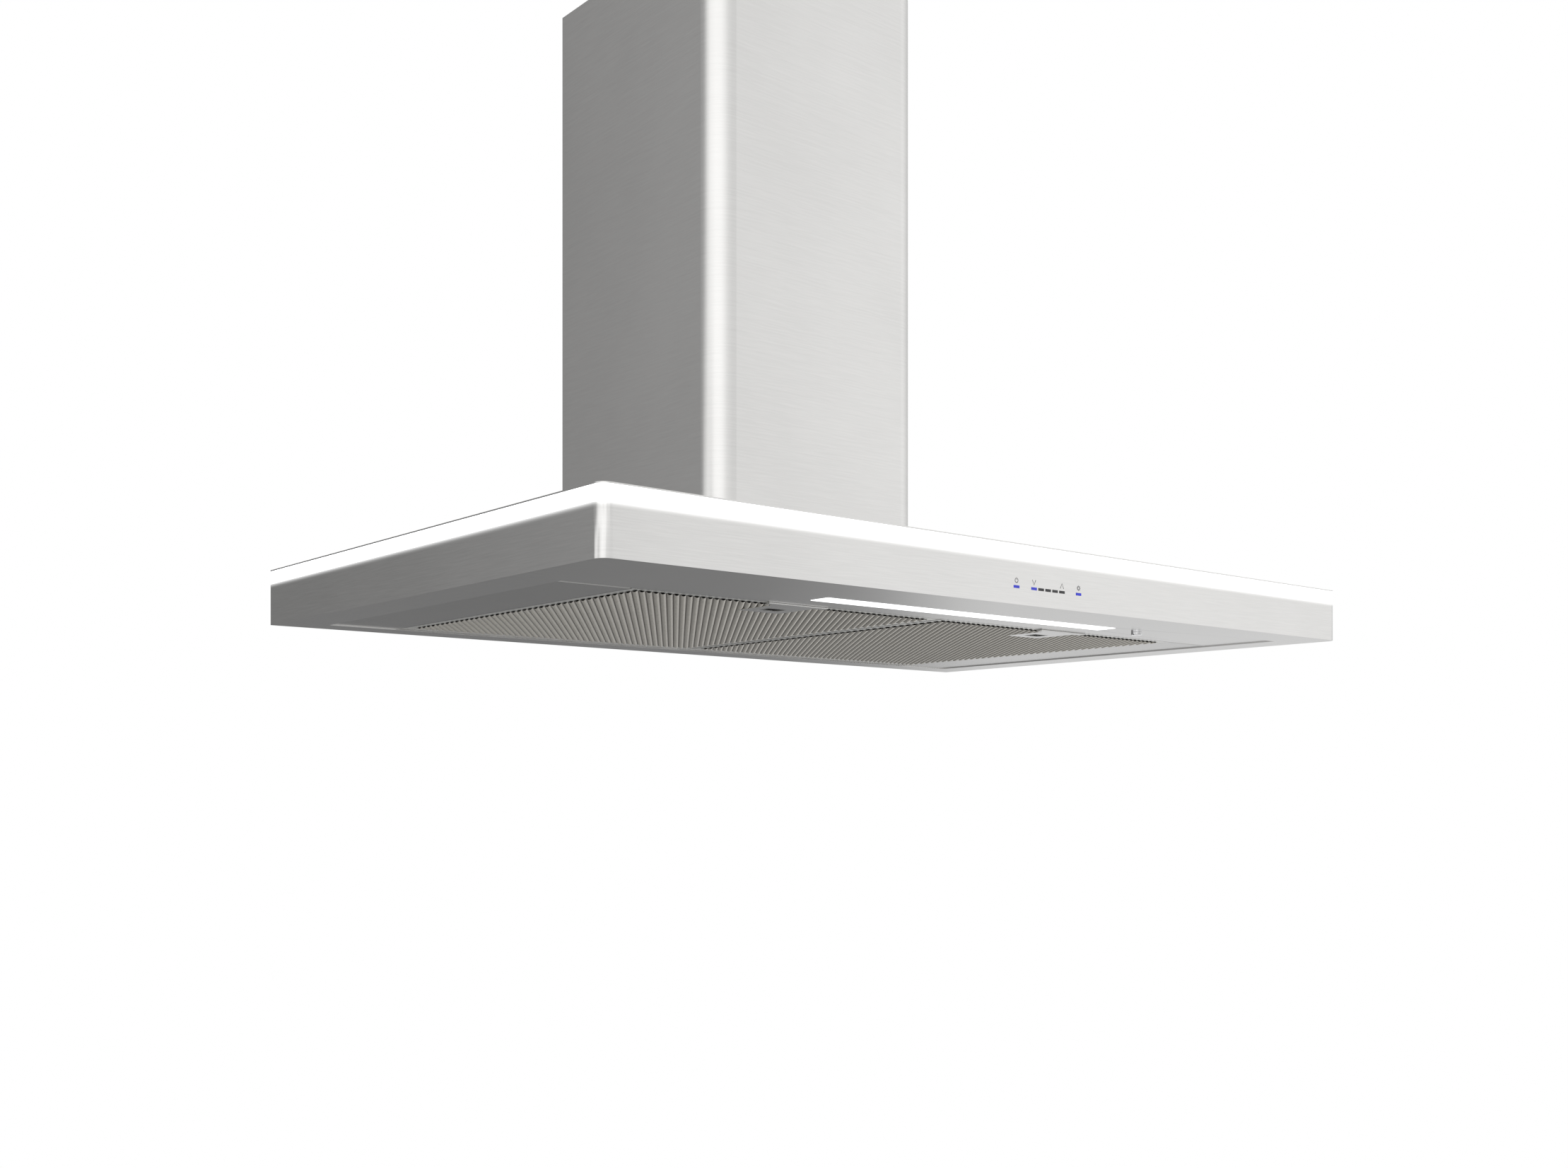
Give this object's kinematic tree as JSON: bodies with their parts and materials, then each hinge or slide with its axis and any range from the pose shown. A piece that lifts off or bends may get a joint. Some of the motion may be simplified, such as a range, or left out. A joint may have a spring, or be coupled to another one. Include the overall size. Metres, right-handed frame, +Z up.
{
  "type": "wall-hung range hood",
  "caption": "Slim T-shaped canopy hood with a glowing edge band, light bar, mesh filters, blower and telescoping duct cover.",
  "frame": {"origin": "centre of the wall bracket's four-hole pattern, in the plane of the wall, 150 mm above the canopy's lower face", "axes": "+X to the right along the wall as seen from the front, +Y into the wall, +Z up"},
  "size_m": [0.914, 0.5657, 0.6789],
  "materials": {
    "hood_steel": "fine horizontal brushed grain, satin",
    "galvanised_steel": "zinc-coated sheet, dull spangle",
    "light_band_acrylic": "frosted opal acrylic, lit from behind",
    "light_bar_acrylic": "frosted opal acrylic, lit from behind",
    "aluminium": "mill finish",
    "filter_aluminium": "rolled satin",
    "filter_mesh": "expanded mesh, corrugated, warm grey",
    "latch_steel": "pressed, satin",
    "circuit_board": "green solder mask",
    "chrome": "polished",
    "spring_steel": "hardened, bright",
    "black_plastic": "fine moulded grain",
    "white_plastic": "moulded",
    "blue_window": "clear window lit blue",
    "dark_window": "smoked window, unlit",
    "motor_paint": "black enamel",
    "rubber": "moulded",
    "screw_steel": "zinc plated"
  },
  "bodies": {
    "hood": {"blower_case": "galvanised_steel", "cable_gland": "black_plastic", "canopy_rear_panel": "galvanised_steel", "canopy_shell": "hood_steel", "canopy_top_panel": "hood_steel", "casing_screws": "screw_steel", "control_board": "circuit_board", "control_board_holder": "black_plastic", "control_module": "circuit_board", "damper_collar": "black_plastic", "damper_pins": "spring_steel", "filter_catches": "spring_steel", "filter_rail_frame": "hood_steel", "front_cross_rail": "galvanised_steel", "hanger": "galvanised_steel", "indicator_windows_blue": "blue_window", "indicator_windows_dark": "dark_window", "led_driver": "white_plastic", "light_band": "light_band_acrylic", "light_band_carrier": "aluminium", "light_band_leds": "circuit_board", "light_bar_board": "circuit_board", "light_bar_housing": "aluminium", "light_bar_lens": "light_bar_acrylic", "light_panel": "hood_steel", "lower_duct_cover": "hood_steel", "motor_bearings": "spring_steel", "motor_bracket": "galvanised_steel", "motor_can": "motor_paint", "motor_screws": "screw_steel", "motor_stator": "motor_paint", "outlet_transition": "black_plastic", "rubber_mounts": "rubber", "run_capacitor": "white_plastic", "scroll_side_left": "galvanised_steel", "scroll_side_right": "galvanised_steel", "scroll_wrap": "galvanised_steel", "side_panel_left": "hood_steel", "side_panel_right": "hood_steel", "wall_bracket": "galvanised_steel", "wiring_box": "galvanised_steel", "wiring_box_cover": "galvanised_steel"},
    "filter_left": {"filter_frame_left": "filter_aluminium", "filter_mesh_left": "filter_mesh", "latch_plate_left": "latch_steel", "latch_spring_left": "spring_steel"},
    "latch_left": {"latch_slider_left": "black_plastic"},
    "filter_right": {"filter_frame_right": "filter_aluminium", "filter_mesh_right": "filter_mesh", "latch_plate_right": "latch_steel", "latch_spring_right": "spring_steel"},
    "latch_right": {"latch_slider_right": "black_plastic"},
    "light_stud": {"light_panel_stud": "chrome", "stud_retaining_ring": "spring_steel"},
    "fan_wheel": {"impeller": "aluminium", "motor_rotor": "spring_steel"},
    "damper_front": {"damper_flap_front": "white_plastic"},
    "damper_rear": {"damper_flap_rear": "white_plastic"},
    "upper_cover": {"upper_duct_cover": "hood_steel", "chimney_bracket": "galvanised_steel"}
  },
  "joints": [
    {"name": "filter_left_tilt", "type": "hinge", "parent": "hood", "child": "filter_left", "pos_m": [-0.1725, -0.046, -0.1466], "axis": [1, 0, 0], "range_deg": [0, 35], "deforming": ["filter_catches"]},
    {"name": "latch_left_slide", "type": "slide", "parent": "filter_left", "child": "latch_left", "axis": [0, 1, 0], "range_m": [0, 0.006], "stiffness_N_per_m": 300, "springref_m": -0.004, "deforming": ["latch_spring_left"]},
    {"name": "filter_right_tilt", "type": "hinge", "parent": "hood", "child": "filter_right", "pos_m": [0.1725, -0.046, -0.1466], "axis": [1, 0, 0], "range_deg": [0, 35], "deforming": ["filter_catches"]},
    {"name": "latch_right_slide", "type": "slide", "parent": "filter_right", "child": "latch_right", "axis": [0, 1, 0], "range_m": [0, 0.006], "stiffness_N_per_m": 300, "springref_m": -0.004, "deforming": ["latch_spring_right"]},
    {"name": "light_stud_turn", "type": "hinge", "parent": "hood", "child": "light_stud", "pos_m": [0.2335, -0.48, -0.15], "axis": [0, 0, 1], "range_deg": [0, 90]},
    {"name": "fan_spin", "type": "hinge", "parent": "hood", "child": "fan_wheel", "pos_m": [0, -0.118, 0.01], "axis": [1, 0, 0], "continuous": true},
    {"name": "damper_front_swing", "type": "hinge", "parent": "hood", "child": "damper_front", "pos_m": [0, -0.135, 0.152], "axis": [-1, 0, 0], "range_deg": [0, 75]},
    {"name": "damper_rear_swing", "type": "hinge", "parent": "hood", "child": "damper_rear", "pos_m": [0, -0.125, 0.152], "axis": [1, 0, 0], "range_deg": [0, 75]},
    {"name": "upper_cover_slide", "type": "slide", "parent": "hood", "child": "upper_cover", "axis": [0, 0, 1], "range_m": [0, 0.48]}
  ]
}
